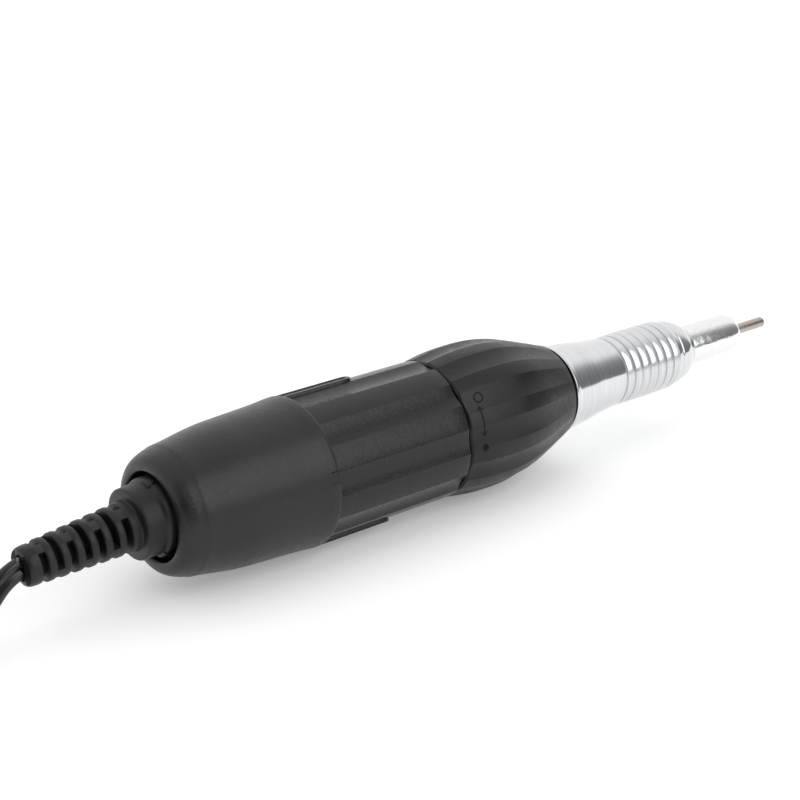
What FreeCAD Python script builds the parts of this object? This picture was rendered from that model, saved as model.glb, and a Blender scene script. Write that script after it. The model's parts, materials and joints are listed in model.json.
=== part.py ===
import FreeCAD, Part
import math
import os
import Sketcher

# An electric nail drill: a tapered handpiece about 194 mm long that lies on its side.
# Stations are measured along the handpiece from the rear end of its cord boot, in millimetres.
SIZES = {
    # where the model's origin lies, and how high the axis is above the surface
    "middle": 96.6, "axis_height": 14.9,
    # cord boot, drooping a little under the cord's weight
    "boot_rear": 0.0, "boot_collar_rear": 22.0, "boot_neck": 25.6, "boot_flange_rear": 29.9,
    "boot_front": 31.5, "boot_end_radius": 3.6, "boot_root_radius": 4.8, "boot_core": 3.2,
    "collar_radius": 6.65, "flare_radius": 7.5, "flange_radius": 8.6, "boot_droop": 4.0,
    "rib_pitch": 2.7, "rib_gap": 1.2, "rib_count": 7, "first_gap": 2.6, "boot_lift": 0.2,
    # rear cover
    "cover_lip_rear": 25.9, "cover_hole_plane": 27.0, "cover_inner_rear": 29.0, "cover_shoulder": 30.2,
    "cover_taper": 41.0, "cover_skirt": 57.2, "cover_front": 58.3, "cover_step": 57.0,
    "cover_hole": 8.3, "cover_lip_radius": 9.8, "cover_shoulder_radius": 12.2,
    "cover_taper_radius": 13.7, "cover_radius": 14.7, "cover_bore": 12.85, "cover_mouth": 14.1,
    "cover_rear_bore": 9.6, "cover_bore_start": 44.0, "lip_bend": 1.3, "shoulder_bend": 4.6,
    "taper_bend": 60.0,
    # boot retainer and cover seal
    "retainer_rear": 32.4, "retainer_front": 34.0, "retainer_bore": 3.3, "retainer_radius": 10.4,
    "seal_rear": 52.0, "seal_front": 53.6, "seal_land": 12.0,
    # motor housing
    "housing_rear": 48.5, "housing_step": 57.3, "housing_front": 90.4, "housing_wall_rear": 88.4,
    "housing_radius": 13.95, "spigot_radius": 12.6, "housing_bore": 11.5, "housing_mouth": 9.3,
    "flute_count": 9, "flute_radius": 12.0, "flute_depth": 0.46, "flute_roll": 3.0,
    # motor
    "motor_rear": 43.6, "bell_front": 51.5, "can_front": 84.0, "plate_front": 88.2,
    "motor_radius": 11.2, "can_bore": 10.4, "motor_bearing": 4.0, "motor_bearing_width": 2.6,
    "rear_bearing": 44.0, "front_bearing": 84.8, "bell_bore": 3.7, "plate_bore": 1.8,
    "shaft_radius": 1.5, "shaft_rear": 43.7, "shaft_front": 91.0,
    "magnet_rear": 55.0, "magnet_front": 81.0, "magnet_bore": 8.4, "magnet_span": 140.0,
    "core_rear": 57.0, "core_front": 79.0, "core_radius": 8.0, "core_slot": 1.6, "core_slot_root": 5.0,
    "slot_count": 5, "winding_rear": 53.6, "winding_front": 82.4, "winding_radius": 7.2,
    "commutator_rear": 46.9, "commutator_front": 53.2, "commutator_radius": 3.2,
    "commutator_cut": 0.4, "commutator_bars": 10, "commutator_root": 2.7,
    # brushes, in a channel across the end bell
    "brush_station": 49.1, "channel_half": 2.3, "channel_rise": 1.7, "tube_wall": 0.5,
    "tube_inner": 4.2, "tube_outer": 9.6, "brush_inner": 3.26, "brush_outer": 7.4,
    "cap_outer": 10.6, "brush_inset": 0.56, "brush_coil": 0.8, "brush_wire": 0.15,
    # spindle housing, and the drive between motor and spindle
    "spindle_flange": 90.6, "spindle_thread": 114.0, "spindle_housing_front": 124.0,
    "spindle_flange_radius": 9.1, "spindle_housing_radius": 8.4, "spindle_housing_bore": 6.6,
    "thread_radius": 7.4, "fork_rear": 88.7, "fork_slot": 91.2, "fork_front": 94.2,
    "fork_radius": 3.4, "tang_rear": 91.5, "tang_front": 94.6, "tang_half": 0.9,
    "jaw_half": 1.0,
    # twist ring
    "ring_rear": 91.0, "ring_first": 95.0, "ring_crest": 102.0, "ring_fall": 107.0,
    "ring_waist": 112.0, "ring_neck": 117.0, "ring_front": 123.9, "ring_rear_radius": 14.1,
    "ring_first_radius": 14.6, "ring_radius": 14.9, "ring_fall_radius": 14.5,
    "ring_waist_radius": 13.65, "ring_neck_radius": 12.4, "ring_front_radius": 9.9,
    "ring_bore": 10.3, "ring_bore_front": 113.0, "ring_front_bore": 9.1, "nose_bend": 26.0,
    # cam sleeve that the ring's pins drive, and what it pushes
    "sleeve_rear": 97.0, "sleeve_front": 111.0, "sleeve_bore": 8.48, "sleeve_radius": 9.9,
    "cam_station": 104.0, "cam_pin": 0.9, "cam_pin_inner": 8.8, "cam_pin_outer": 12.9,
    "window_rear": 101.2, "window_front": 105.2, "window_span": 62.0, "cam_roll": 22.5,
    "release_station": 100.0, "release_pin": 1.0, "release_inner": 3.9, "release_outer": 9.8,
    "release_slot_front": 102.9, "release_slot_rear": 98.7, "release_slot_half": 1.1,
    "pusher_rear": 98.2, "pusher_front": 101.8, "pusher_bore": 3.7, "pusher_radius": 6.52,
    "detent_station": 98.0, "detent_ball": 1.0, "detent_hole": 1.06, "detent_centre": 11.02,
    "detent_depth": 13.9, "detent_coil": 0.75, "detent_wire": 0.18,
    # nose cone
    "nose_rear": 114.2, "nose_rim": 124.2, "nose_rim_front": 125.6, "nose_flare": 131.5,
    "nose_waist": 141.0, "nose_plain": 157.5, "nose_shoulder": 161.6, "nose_front": 165.3,
    "nose_spigot": 8.7, "nose_rim_radius": 9.6, "nose_flare_radius": 8.75, "nose_waist_radius": 7.6,
    "nose_plain_radius": 7.5, "nose_shoulder_radius": 6.9, "nose_front_radius": 4.9,
    "nose_bore": 5.5, "nose_bore_front": 160.5, "nose_round": 3.4, "nose_hollow": 60.0,
    "groove_first": 140.8, "groove_pitch": 2.4, "groove_width": 0.7, "groove_depth": 0.35,
    "groove_count": 7,
    # front cap, seal and bearing nut
    "cap_rear": 160.5, "cap_round": 177.6, "cap_front": 182.4, "cap_radius": 4.5,
    "cap_front_radius": 2.9, "cap_bore": 3.4, "cap_wall": 179.3, "cap_hole": 1.6, "cap_bend": 6.0,
    "seal_bore": 2.56, "front_seal_rear": 174.5, "front_seal_front": 176.5,
    "nut_rear": 158.6, "nut_front": 160.4, "nut_bore": 3.6,
    # spindle, its bearings and the collet
    "spindle_radius": 2.5, "spindle_bore": 1.75, "spindle_bore_rear": 98.0, "spindle_front": 178.2,
    "bearing_one": 127.5, "bearing_two": 150.0, "bearing_three": 154.4, "bearing_width": 4.0,
    "bearing_radius": 5.5, "outer_land": 4.6, "inner_land": 3.3, "ball_circle": 3.95,
    "ball_radius": 0.6, "ball_count": 9, "spacer_bore": 4.7,
    "motor_outer_land": 3.3, "motor_inner_land": 2.1, "motor_ball_circle": 2.7,
    "motor_ball_radius": 0.55, "motor_ball_count": 7,
    "collet_rear": 150.0, "collet_front": 177.3, "collet_radius": 1.7, "collet_bore": 1.2,
    "slit_rear": 163.0, "slit_width": 0.35, "drawbar_rear": 100.5,
    "cross_station": 104.0, "cross_pin": 0.6, "cross_reach": 3.5, "cross_slot_rear": 103.2,
    "cross_slot_front": 106.5, "cross_slot_half": 0.7, "carrier_rear": 102.2,
    "carrier_front": 105.8, "carrier_bore": 2.58, "carrier_radius": 3.5,
    "spring_rear": 106.1, "spring_front": 115.1, "spring_coil": 3.05, "spring_wire": 0.25,
    "spring_pitch": 1.8, "stop_rear": 116.0, "stop_front": 117.2, "stop_radius": 3.7,
    # burr shank of the standard 2.35 mm size
    "shank_rear": 156.0, "shank_front": 193.2, "shank_radius": 1.175, "shank_chamfer": 0.25,
    "shank_neck_rear": 181.2, "shank_neck_front": 182.45, "shank_neck_radius": 1.0,
    # cord, its hank, the tie and the plug
    "cord_radius": 2.15, "wire_radius": 0.55, "hank_front": -30.0, "hank_length": 82.0,
    "hank_half": 15.5, "hank_height": 9.4, "hank_lift": 0.9, "hank_round": 12.0,
    "tie_length": 9.0, "tie_wall": 0.9, "plug_relief": 9.0, "plug_face": 29.0, "plug_tip": 38.5,
    "plug_radius": 4.9, "plug_relief_radius": 3.0, "plug_barrel_radius": 2.75,
    "plug_barrel_bore": 1.7, "plug_contact_bore": 1.05,
}

doc = FreeCAD.newDocument("nail_drill")
sheet = doc.addObject("Spreadsheet::Sheet", "sizes")
for row, (alias, size) in enumerate(SIZES.items(), start=1):
    sheet.set(f"A{row}", alias)
    sheet.set(f"B{row}", str(size))
    sheet.setAlias(f"B{row}", alias)
doc.recompute()

parts = []


def value(text):
    """The number that a sum of sheet names and plain numbers stands for."""
    total = 0.0
    sign = 1.0
    for word in text.split():
        if word in ("+", "-"):
            sign = 1.0 if word == "+" else -1.0
        else:
            total += sign * (SIZES[word] if word in SIZES else float(word))
    return total


def bound(text):
    """The same sum as an expression on the sheet."""
    return " ".join(f"sizes.{word}" if word in SIZES else word for word in text.split())


def keep(thing, label, roll="0", placed=True):
    """Names a sub-part and puts it on the handpiece's axis, turned about it by roll degrees."""
    thing.Label = label
    if placed:
        thing.Placement = FreeCAD.Placement(
            FreeCAD.Vector(-value("middle"), 0, value("axis_height")),
            FreeCAD.Rotation(FreeCAD.Vector(1, 0, 0), value(roll)),
        )
        thing.setExpression("Placement.Base.x", "-sizes.middle")
        thing.setExpression("Placement.Base.z", "sizes.axis_height")
    parts.append(thing)
    return thing


def origin_plane(body, role):
    """One of a body's own origin planes, such as XZ_Plane."""
    return next(item for item in body.Origin.OriginFeatures if item.Role == role)


def new_sketch(body, role, name):
    sketch = body.newObject("Sketcher::SketchObject", name)
    sketch.AttachmentSupport = [(origin_plane(body, role), "")]
    sketch.MapMode = "FlatFace"
    return sketch


def pin_point(sketch, geometry, end, across, up):
    """Holds a sketch point at a place given by two sums of sheet names."""
    for kind, text, axis in (("DistanceX", across, -2), ("DistanceY", up, -1)):
        if value(text) == 0.0:
            sketch.addConstraint(Sketcher.Constraint("PointOnObject", geometry, end, axis))
            continue
        index = sketch.addConstraint(
            Sketcher.Constraint(kind, -1, 1, geometry, end, value(text))
        )
        sketch.setExpression(f"Constraints[{index}]", bound(text))


def draw_outline(sketch, outline):
    """A closed outline. A point's third item is the radius of the arc that arrives at it.

    A positive radius bulges to the left of the way along, and one after a minus sign is hollow.
    """
    ends = []
    corners = [FreeCAD.Vector(value(point[0]), value(point[1]), 0) for point in outline]
    for index, point in enumerate(outline):
        start = corners[index - 1]
        end = corners[index]
        if len(point) == 2:
            geometry = sketch.addGeometry(Part.LineSegment(start, end))
            ends.append((geometry, 1, 2))
            continue
        hollow = point[2].startswith("-")
        radius = value(point[2].lstrip("-"))
        chord = end - start
        left = FreeCAD.Vector(-chord.y, chord.x, 0).normalize()
        rise = radius - math.sqrt(radius ** 2 - (chord.Length / 2) ** 2)
        middle = (start + end) * 0.5 + left * (-rise if hollow else rise)
        geometry = sketch.addGeometry(Part.Arc(start, middle, end))
        ends.append((geometry, 1, 2) if hollow else (geometry, 2, 1))
        index_radius = sketch.addConstraint(Sketcher.Constraint("Radius", geometry, radius))
        sketch.setExpression(f"Constraints[{index_radius}]", bound(point[2].lstrip("-")))
    for index, point in enumerate(outline):
        geometry, _, last = ends[index]
        following, first, _ = ends[(index + 1) % len(ends)]
        sketch.addConstraint(Sketcher.Constraint("Coincident", geometry, last, following, first))
        pin_point(sketch, geometry, last, point[0], point[1])


def turned(label, outline, roll="0", span="360"):
    """A piece turned about the handpiece's axis: the outline is station and radius."""
    body = doc.addObject("PartDesign::Body", label)
    sketch = new_sketch(body, "XZ_Plane", f"{label}_outline")
    draw_outline(sketch, outline)
    turn = body.newObject("PartDesign::Revolution", f"{label}_turn")
    turn.Profile = sketch
    turn.ReferenceAxis = (sketch, ["H_Axis"])
    turn.Angle = value(span)
    if span in SIZES:
        turn.setExpression("Angle", bound(span))
        turn.Midplane = True
    return keep(body, label, roll)


def ring(label, rear, front, inner, outer, roll="0"):
    """A plain tube, washer, race or disc."""
    return turned(label, [(rear, inner), (rear, outer), (front, outer), (front, inner)], roll)


def rectangle(rear, front, low, high):
    return [(rear, low), (rear, high), (front, high), (front, low)]


def pocket(body, plane, outline, name, depth=None):
    """A cut straight across a body, both ways from one of its own planes."""
    sketch = new_sketch(body, plane, f"{name}_sketch")
    draw_outline(sketch, outline)
    cut = body.newObject("PartDesign::Pocket", name)
    cut.Profile = sketch
    cut.Midplane = True
    if depth:
        cut.Length = value(depth)
        cut.setExpression("Length", bound(depth))
    else:
        cut.Type = "ThroughAll"
    return cut


def pin_hole(body, station, radius, name, plane="XZ_Plane", reach=None):
    """A round hole right across a body, or out to a given distance from its axis both ways."""
    sketch = new_sketch(body, plane, f"{name}_sketch")
    circle = sketch.addGeometry(
        Part.Circle(FreeCAD.Vector(value(station), 0, 0), FreeCAD.Vector(0, 0, 1), value(radius)))
    bend = sketch.addConstraint(Sketcher.Constraint("Radius", circle, value(radius)))
    sketch.setExpression(f"Constraints[{bend}]", bound(radius))
    pin_point(sketch, circle, 3, station, "0")
    cut = body.newObject("PartDesign::Pocket", name)
    cut.Profile = sketch
    cut.Midplane = True
    if reach:
        cut.Length = 2 * value(reach)
        cut.setExpression("Length", f"2 * sizes.{reach}")
    else:
        cut.Type = "ThroughAll"


def around(body, feature, count, name):
    """Repeats a feature round the handpiece's axis."""
    pattern = body.newObject("PartDesign::PolarPattern", name)
    pattern.Originals = [feature]
    pattern.Axis = (feature.Profile[0], ["H_Axis"])
    pattern.Angle = 360
    pattern.Occurrences = int(value(count))
    if count in SIZES:
        pattern.setExpression("Occurrences", bound(count))
    body.Tip = pattern
    return pattern


def along(body, feature, pitch, count, name):
    """Repeats a feature along the handpiece's axis."""
    pattern = body.newObject("PartDesign::LinearPattern", name)
    pattern.Originals = [feature]
    pattern.Direction = (feature.Profile[0], ["H_Axis"])
    pattern.Occurrences = int(value(count))
    pattern.setExpression("Occurrences", bound(count))
    pattern.Length = value(pitch) * (value(count) - 1)
    pattern.setExpression("Length", f"sizes.{pitch} * (sizes.{count} - 1)")
    body.Tip = pattern
    return pattern


def groove(body, outline, name, span=None):
    """An annular cut, or a sector of one centred on the sketch plane."""
    sketch = new_sketch(body, "XZ_Plane", f"{name}_sketch")
    draw_outline(sketch, outline)
    cut = body.newObject("PartDesign::Groove", name)
    cut.Profile = sketch
    cut.ReferenceAxis = (sketch, ["H_Axis"])
    if span:
        cut.Angle = value(span)
        cut.setExpression("Angle", bound(span))
        cut.Midplane = True
    return cut


def primitive(kind, name, sizes, place, turn=None):
    """A Part primitive whose sizes and place are bound to the sheet."""
    thing = doc.addObject(kind, name)
    for key, text in sizes.items():
        setattr(thing, key, value(text))
        thing.setExpression(key, bound(text))
    if turn:
        thing.Placement = FreeCAD.Placement(FreeCAD.Vector(), FreeCAD.Rotation(*turn))
    for axis, text in zip("xyz", place):
        thing.setExpression(f"Placement.Base.{axis}", text)
    return thing


def group(label, things, roll="0"):
    """Several like pieces as one sub-part of separate solids."""
    compound = doc.addObject("Part::Compound", label)
    compound.Links = things
    return keep(compound, label, roll)


TOWARDS_Y = (FreeCAD.Vector(1, 0, 0), -90)
AGAINST_Y = (FreeCAD.Vector(1, 0, 0), 90)
TOWARDS_Z = (FreeCAD.Vector(0, 0, 1), 0)
AGAINST_Z = (FreeCAD.Vector(1, 0, 0), 180)


def radial_pins(label, station, radius, inner, outer, turns, roll="0"):
    """Round pins that stand out from the axis both ways."""
    pins = []
    for index, (turn, axis, sign) in enumerate(turns):
        place = [f"sizes.{station}", "0", "0"]
        place["xyz".index(axis)] = f"{sign}sizes.{inner}"
        pins.append(primitive("Part::Cylinder", f"{label}_{index}", {
            "Radius": radius, "Height": f"{outer} - {inner}"}, place, turn))
    return group(label, pins, roll)


def ball_ring(label, stations, width, circle, radius, count):
    """The balls of several bearings."""
    balls = []
    for station in stations:
        for index in range(int(value(count))):
            angle = f"(360 deg * {index} / sizes.{count})"
            balls.append(primitive("Part::Sphere", f"{label}_{station}_{index}", {"Radius": radius}, (
                f"sizes.{station} + sizes.{width} / 2",
                f"sizes.{circle} * cos{angle}", f"sizes.{circle} * sin{angle}")))
    return group(label, balls)


def race_set(label, stations, width, inner, outer):
    """The like races of several bearings, as separate rings."""
    rings = []
    for station in stations:
        tube = doc.addObject("Part::Cut", f"{label}_{station}")
        place = (f"sizes.{station}", "0", "0")
        turn = (FreeCAD.Vector(0, 1, 0), 90)
        tube.Base = primitive("Part::Cylinder", f"{label}_{station}_outer",
                              {"Radius": outer, "Height": width}, place, turn)
        tube.Tool = primitive("Part::Cylinder", f"{label}_{station}_inner",
                              {"Radius": inner, "Height": width}, place, turn)
        rings.append(tube)
    return group(label, rings)


def coil(name, radius, wire, pitch, length, place, turn):
    """A helical wire spring along its own Z."""
    helix = primitive("Part::Helix", f"{name}_line",
                      {"Radius": radius, "Pitch": pitch, "Height": length}, ("0", "0", "0"))
    helix.SegmentLength = 1
    section = primitive("Part::Circle", f"{name}_section", {"Radius": wire},
                        (f"sizes.{radius}", "0", "0"), TOWARDS_Y)
    doc.recompute()
    sweep = doc.addObject("Part::Sweep", name)
    sweep.Sections = [section]
    sweep.Spine = (helix, [f"Edge{index + 1}" for index in range(len(helix.Shape.Edges))])
    sweep.Solid = True
    sweep.Frenet = True
    sweep.Placement = FreeCAD.Placement(FreeCAD.Vector(), FreeCAD.Rotation(*turn))
    for axis, text in zip("xyz", place):
        sweep.setExpression(f"Placement.Base.{axis}", text)
    return sweep


def bent_tube(route, radius, name):
    """A tube along straight runs joined by tangent arcs, and its length and bend radii."""
    points = [FreeCAD.Vector(*point) for point in route]
    edges = []
    bends = []
    start = points[0]
    for before, corner, after in zip(points, points[1:], points[2:]):
        arriving = (corner - before).normalize()
        leaving = (after - corner).normalize()
        turn = arriving.getAngle(leaving)
        shorter = min((corner - before).Length, (after - corner).Length)
        bend = 0.45 * shorter / math.tan(turn / 2)
        tangent = bend * math.tan(turn / 2)
        first = corner - arriving * tangent
        last = corner + leaving * tangent
        inward = (leaving - arriving).normalize()
        middle = corner + inward * (bend / math.cos(turn / 2) - bend)
        edges.append(Part.LineSegment(start, first).toShape())
        edges.append(Part.Arc(first, middle, last).toShape())
        bends.append(round(bend, 1))
        start = last
    edges.append(Part.LineSegment(start, points[-1]).toShape())
    path = Part.Wire(edges)
    section = Part.Wire(Part.Circle(points[0], points[1] - points[0], radius).toShape())
    tube = path.makePipeShell([section], True, True)
    expected = math.pi * radius ** 2 * path.Length
    print(f"{name}: length {path.Length:.1f} mm, bend radii {bends}, "
          f"volume {tube.Volume / expected:.3f} of section times length")
    return tube


def fixed_shape(label, shape, placed=True):
    """A sub-part that no feature fits, made from the sheet's sizes."""
    thing = doc.addObject("Part::Feature", label)
    thing.Shape = shape
    return keep(thing, label, placed=placed)


# Rear: cord boot, rear cover and what holds the boot.
boot = turned("strain_relief_boot", [
    ("boot_rear", "cord_radius"), ("boot_rear", "boot_end_radius"),
    ("boot_collar_rear", "boot_root_radius"), ("boot_collar_rear", "collar_radius"),
    ("boot_neck", "collar_radius"), ("boot_neck + 0.9", "flare_radius"),
    ("boot_flange_rear", "flare_radius"), ("boot_flange_rear", "flange_radius"),
    ("boot_front", "flange_radius"), ("boot_front", "cord_radius"),
])
boot_gap = groove(boot, rectangle("first_gap", "first_gap + rib_gap", "boot_core", "collar_radius"),
                  "boot_gap")
along(boot, boot_gap, "rib_pitch", "rib_count", "boot_gaps")
core = ring("cord_core", "boot_rear", "retainer_front", "0", "cord_radius")
for drooping in (boot, core):
    # turns about the cover's hole, so that the rear end hangs lower
    drooping.Placement = FreeCAD.Placement(
        FreeCAD.Vector(-value("middle"), 0, value("axis_height")),
        FreeCAD.Rotation(FreeCAD.Vector(0, 1, 0), -value("boot_droop")),
    )
    drooping.setExpression("Placement.Base.x",
                           "-sizes.middle + sizes.cover_hole_plane * (1 - cos(sizes.boot_droop * 1 deg))")
    drooping.setExpression("Placement.Base.z",
                           "sizes.axis_height + sizes.boot_lift"
                           " - sizes.cover_hole_plane * sin(sizes.boot_droop * 1 deg)")

turned("rear_cover", [
    ("cover_inner_rear", "cover_hole"), ("cover_hole_plane", "cover_hole"),
    ("cover_lip_rear", "cover_lip_radius", "lip_bend"),
    ("cover_shoulder", "cover_shoulder_radius", "shoulder_bend"),
    ("cover_taper", "cover_taper_radius", "taper_bend"),
    ("cover_skirt", "cover_radius", "taper_bend + taper_bend"), ("cover_front", "cover_radius"),
    ("cover_front", "cover_mouth"), ("cover_step", "cover_mouth"), ("cover_step", "cover_bore"),
    ("cover_bore_start", "cover_bore"), ("cover_taper - 3", "cover_taper_radius - 1.9"),
    ("cover_inner_rear", "cover_rear_bore"),
])
ring("boot_retainer", "retainer_rear", "retainer_front", "retainer_bore", "retainer_radius")
ring("cover_seal", "seal_rear", "seal_front", "seal_land", "cover_bore")

# Motor housing: shallow flutes all round, with plain lands between them.
housing = turned("motor_housing", [
    ("housing_rear", "housing_bore"), ("housing_rear", "spigot_radius"),
    ("seal_rear", "spigot_radius"), ("seal_rear", "seal_land"),
    ("seal_front", "seal_land"), ("seal_front", "spigot_radius"),
    ("housing_step", "spigot_radius"), ("housing_step", "housing_radius"),
    ("housing_front", "housing_radius"), ("housing_front", "housing_mouth"),
    ("housing_wall_rear", "housing_mouth"), ("housing_wall_rear", "housing_bore"),
], roll="flute_roll")
flute_sketch = new_sketch(housing, "YZ_Plane", "flute_sketch")
flute_circle = flute_sketch.addGeometry(Part.Circle(
    FreeCAD.Vector(0, value("housing_radius + flute_radius - flute_depth"), 0),
    FreeCAD.Vector(0, 0, 1), value("flute_radius")))
flute_bend = flute_sketch.addConstraint(
    Sketcher.Constraint("Radius", flute_circle, value("flute_radius")))
flute_sketch.setExpression(f"Constraints[{flute_bend}]", bound("flute_radius"))
pin_point(flute_sketch, flute_circle, 3, "0", "housing_radius + flute_radius - flute_depth")
flute_sketch.AttachmentOffset = FreeCAD.Placement(
    FreeCAD.Vector(0, 0, value("housing_step + 1.5")), FreeCAD.Rotation())
flute_sketch.setExpression("AttachmentOffset.Base.z", bound("housing_step + 1.5"))
flute = housing.newObject("PartDesign::Pocket", "flute")
flute.Profile = flute_sketch
flute.Length = value("housing_front - housing_step")
flute.setExpression("Length", bound("housing_front - housing_step"))
flute.Reversed = True
flutes = housing.newObject("PartDesign::PolarPattern", "flutes")
flutes.Originals = [flute]
flutes.Axis = (flute_sketch, ["N_Axis"])
flutes.Angle = 360
flutes.Occurrences = int(value("flute_count"))
flutes.setExpression("Occurrences", bound("flute_count"))
housing.Tip = flutes

# Motor: end bell with its brushes, can, magnets and front plate.
bell = turned("end_bell", [
    ("motor_rear", "shaft_radius + 0.3"), ("motor_rear", "motor_radius"),
    ("bell_front", "motor_radius"), ("bell_front", "bell_bore"),
    ("rear_bearing + motor_bearing_width", "bell_bore"),
    ("rear_bearing + motor_bearing_width", "motor_bearing"), ("rear_bearing", "motor_bearing"),
    ("rear_bearing", "shaft_radius + 0.3"),
])
pocket(bell, "XZ_Plane", rectangle("brush_station - channel_half", "brush_station + channel_half",
                                   "- channel_rise", "channel_rise"), "brush_channel")


def brush_blocks(label, inner, outer, margin, hollow=None):
    """A pair of blocks in the brush channel, solid or with a smaller square hole along them."""
    blocks = []
    for side, sign in (("left", ""), ("right", "-")):
        solids = []
        for name, inset in (("block", margin), ("hole", hollow)):
            if inset is None:
                continue
            far = f"-sizes.{outer}" if sign else f"sizes.{inner}"
            solids.append(primitive("Part::Box", f"{label}_{side}_{name}", {
                "Length": f"channel_half + channel_half - {inset} - {inset}", "Width": f"{outer} - {inner}",
                "Height": f"channel_rise + channel_rise - {inset} - {inset}"}, (
                f"sizes.brush_station - sizes.channel_half + {bound(inset)}", far,
                f"-sizes.channel_rise + {bound(inset)}")))
        if hollow is None:
            blocks.append(solids[0])
            continue
        tube = doc.addObject("Part::Cut", f"{label}_{side}")
        tube.Base, tube.Tool = solids
        blocks.append(tube)
    return group(label, blocks)


brush_blocks("brush_tubes", "tube_inner", "tube_outer", "0", "tube_wall")
brush_blocks("carbon_brushes", "brush_inner", "brush_outer", "brush_inset")
brush_blocks("brush_caps", "tube_outer", "cap_outer", "0")
group("brush_springs", [
    coil(f"brush_spring_{side}", "brush_coil", "brush_wire", "0.55", "tube_outer - brush_outer - 0.4",
         ("sizes.brush_station", f"{sign}(sizes.brush_outer + 0.2)", "0"), turn)
    for side, sign, turn in (("left", "", TOWARDS_Y), ("right", "-", AGAINST_Y))
])
ring("motor_can", "bell_front", "can_front", "can_bore", "motor_radius")
magnet = turned("magnets", rectangle("magnet_rear", "magnet_front", "magnet_bore", "can_bore"),
                span="magnet_span")
around(magnet, magnet.Tip, "2", "magnet_pair")
turned("motor_front_plate", [
    ("can_front", "motor_bearing"), ("can_front", "motor_radius"), ("plate_front", "motor_radius"),
    ("plate_front", "plate_bore"), ("front_bearing + motor_bearing_width", "plate_bore"),
    ("front_bearing + motor_bearing_width", "motor_bearing"),
])

# Armature, commutator and shaft.
armature = ring("armature_core", "core_rear", "core_front", "shaft_radius", "core_radius")
core_slot = pocket(armature, "XZ_Plane", rectangle("core_rear - 1", "core_front + 1", "core_slot_root",
                                                   "core_radius + 1"), "core_slot", "core_slot")
around(armature, core_slot, "slot_count", "core_slots")
turned("windings", [
    ("winding_rear", "shaft_radius"), ("winding_rear", "winding_radius - 1.6"),
    ("winding_rear + 1.6", "winding_radius", "3"), ("core_rear", "winding_radius"),
    ("core_rear", "shaft_radius"),
])
turned("front_windings", [
    ("core_front", "shaft_radius"), ("core_front", "winding_radius"),
    ("winding_front - 1.6", "winding_radius"),
    ("winding_front", "winding_radius - 1.6", "3"), ("winding_front", "shaft_radius"),
])
commutator = ring("commutator", "commutator_rear", "commutator_front", "shaft_radius",
                  "commutator_radius")
bar_cut = pocket(commutator, "XZ_Plane", rectangle(
    "commutator_rear - 1", "commutator_front + 1", "commutator_root", "commutator_radius + 1"),
    "bar_cut", "commutator_cut")
around(commutator, bar_cut, "commutator_bars", "bar_cuts")
ring("motor_shaft", "shaft_rear", "shaft_front", "0", "shaft_radius")
fork = turned("drive_fork", [
    ("fork_rear", "shaft_radius"), ("fork_rear", "fork_radius"), ("fork_front", "fork_radius"),
    ("fork_front", "0"), ("shaft_front", "0"), ("shaft_front", "shaft_radius"),
])
pocket(fork, "XZ_Plane", rectangle("fork_slot", "fork_front + 1", "- jaw_half", "jaw_half"), "fork_jaw")

MOTOR_BEARINGS = ("rear_bearing", "front_bearing")
race_set("motor_outer_races", MOTOR_BEARINGS, "motor_bearing_width", "motor_outer_land",
         "motor_bearing")
race_set("motor_inner_races", MOTOR_BEARINGS, "motor_bearing_width", "shaft_radius",
         "motor_inner_land")
ball_ring("motor_balls", MOTOR_BEARINGS, "motor_bearing_width", "motor_ball_circle",
          "motor_ball_radius", "motor_ball_count")

# Spindle housing, with two slots for the release pins.
spindle_housing = turned("spindle_housing", [
    ("plate_front", "spindle_housing_bore"), ("plate_front", "spindle_flange_radius"),
    ("spindle_flange", "spindle_flange_radius"), ("spindle_flange", "spindle_housing_radius"),
    ("spindle_thread", "spindle_housing_radius"), ("spindle_thread", "thread_radius"),
    ("spindle_housing_front", "thread_radius"), ("spindle_housing_front", "spindle_housing_bore"),
], roll="cam_roll")
pocket(spindle_housing, "XZ_Plane", rectangle("release_slot_rear", "release_slot_front",
                                              "- release_slot_half", "release_slot_half"), "release_slots")

# Twist ring with facets, its cam pins and its detent.
twist_ring = turned("twist_ring", [
    ("ring_rear", "ring_bore"), ("ring_rear", "ring_rear_radius"),
    ("ring_first", "ring_first_radius"), ("ring_crest", "ring_radius", "60"),
    ("ring_fall", "ring_fall_radius", "45"), ("ring_waist", "ring_waist_radius", "60"),
    ("ring_neck", "ring_neck_radius", "45"), ("ring_front", "ring_front_radius", "nose_bend"),
    ("ring_front", "ring_front_bore"), ("ring_bore_front", "ring_front_bore"),
    ("ring_bore_front", "ring_bore"),
])
pin_hole(twist_ring, "cam_station", "cam_pin", "cam_pin_holes", "XY_Plane", "cam_pin_outer")
pin_hole(twist_ring, "detent_station", "detent_hole", "detent_holes", "XZ_Plane", "detent_depth")
radial_pins("cam_pins", "cam_station", "cam_pin", "cam_pin_inner", "cam_pin_outer",
            ((TOWARDS_Z, "z", ""), (AGAINST_Z, "z", "-")))

# Cam sleeve, release pins and pusher ring: they slide forwards when the ring is twisted.
sleeve = ring("cam_sleeve", "sleeve_rear", "sleeve_front", "sleeve_bore", "sleeve_radius",
              roll="cam_roll")
window = groove(sleeve, rectangle("window_rear", "window_front", "sleeve_bore - 1",
                                  "sleeve_radius + 1"), "cam_window", "window_span")
around(sleeve, window, "2", "cam_windows")


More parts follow.
